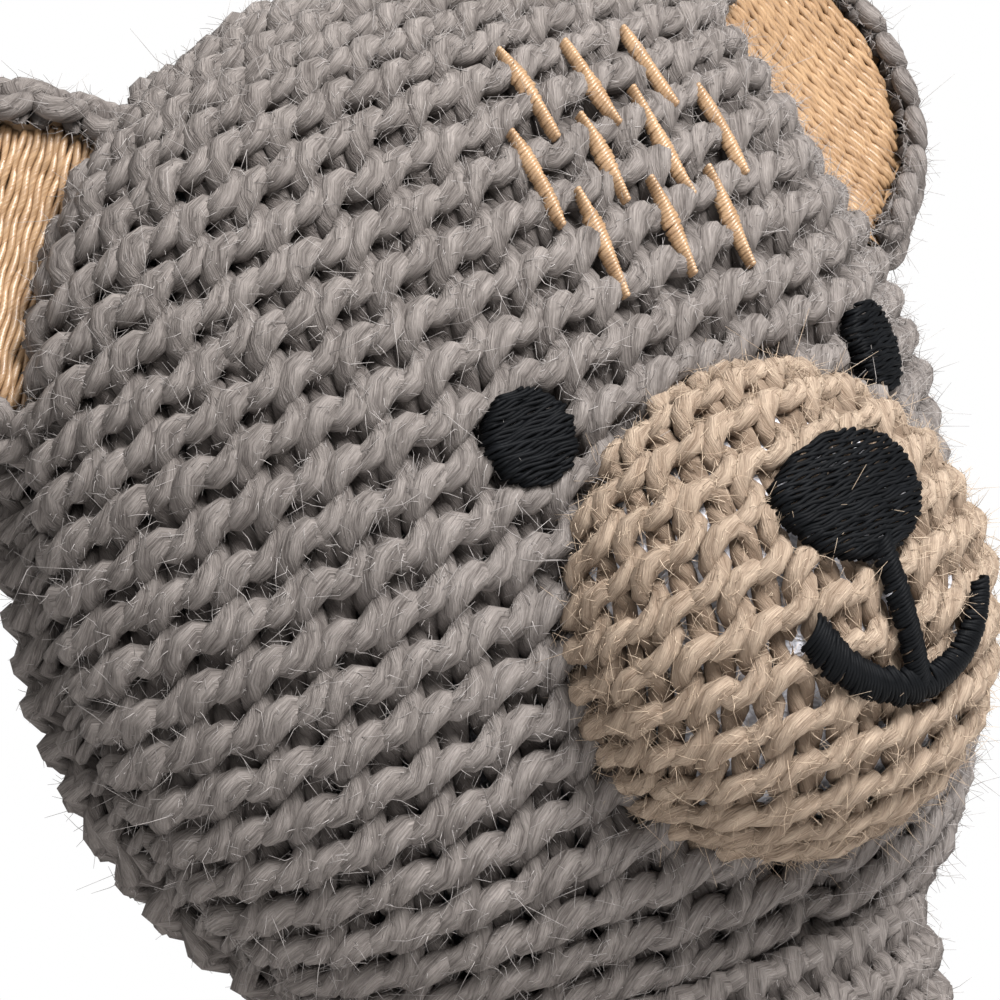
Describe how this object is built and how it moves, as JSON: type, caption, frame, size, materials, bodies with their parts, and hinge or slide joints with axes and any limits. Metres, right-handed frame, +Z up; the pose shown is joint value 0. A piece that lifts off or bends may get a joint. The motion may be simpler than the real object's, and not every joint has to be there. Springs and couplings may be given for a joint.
{
  "type": "hand puppet",
  "caption": "Knitted bear sock puppet: a soft round head with muzzle, ears and stitched face on a ribbed-cuff sleeve with finger arms.",
  "frame": {"origin": "centre of the wrist opening, in the plane of the cuff's lower edge", "axes": "+Z up the sleeve to the head, the face looks along -Y, +X is the bear's left"},
  "size_m": [0.1774, 0.0812, 0.247],
  "materials": {
    "grey_yarn": "matt, fuzzy two-ply knitting yarn",
    "tan_yarn": "matt, fuzzy two-ply knitting yarn",
    "tan_rayon_thread": "glossy embroidery thread",
    "black_rayon_thread": "semi-gloss embroidery thread",
    "stuffing_fibre": "loose white polyester fibre",
    "lining_jersey": "plain fine jersey"
  },
  "bodies": {
    "sleeve": {"body_front": "grey_yarn", "body_back": "grey_yarn", "side_seams": "grey_yarn", "body_lining": "lining_jersey", "cuff": "grey_yarn"},
    "neck": {"neck_gusset": "grey_yarn", "neck_thread": "grey_yarn"},
    "head": {"head_front": "grey_yarn", "head_back": "grey_yarn", "head_seam": "grey_yarn", "head_stuffing": "stuffing_fibre", "finger_pocket": "lining_jersey", "muzzle": "tan_yarn", "muzzle_stuffing": "stuffing_fibre", "nose": "black_rayon_thread", "mouth": "black_rayon_thread", "eye_left": "black_rayon_thread", "eye_right": "black_rayon_thread", "forehead_stitches": "tan_rayon_thread", "ear_left": "grey_yarn", "ear_left_lining": "tan_rayon_thread", "ear_right": "grey_yarn", "ear_right_lining": "tan_rayon_thread"},
    "left_shoulder": {"shoulder_gusset_left": "grey_yarn"},
    "left_arm": {"arm_left": "grey_yarn", "arm_left_lining": "lining_jersey"},
    "right_shoulder": {"shoulder_gusset_right": "grey_yarn"},
    "right_arm": {"arm_right": "grey_yarn", "arm_right_lining": "lining_jersey"}
  },
  "joints": [
    {"name": "head_turn", "type": "hinge", "parent": "sleeve", "child": "neck", "pos_m": [0, 0, 0.145], "axis": [0, 0, 1], "range_deg": [-35, 35]},
    {"name": "head_nod", "type": "hinge", "parent": "neck", "child": "head", "pos_m": [0, 0, 0.145], "axis": [1, 0, 0], "range_deg": [-15, 25]},
    {"name": "left_arm_swing", "type": "hinge", "parent": "sleeve", "child": "left_shoulder", "pos_m": [0.038, 0, 0.11], "axis": [0, 0, -1], "range_deg": [-10, 40]},
    {"name": "left_arm_lift", "type": "hinge", "parent": "left_shoulder", "child": "left_arm", "pos_m": [0.038, 0, 0.11], "axis": [0, -1, 0], "range_deg": [-15, 40]},
    {"name": "right_arm_swing", "type": "hinge", "parent": "sleeve", "child": "right_shoulder", "pos_m": [-0.038, 0, 0.11], "axis": [0, 0, 1], "range_deg": [-10, 40]},
    {"name": "right_arm_lift", "type": "hinge", "parent": "right_shoulder", "child": "right_arm", "pos_m": [-0.038, 0, 0.11], "axis": [0, 1, 0], "range_deg": [-15, 40]}
  ]
}
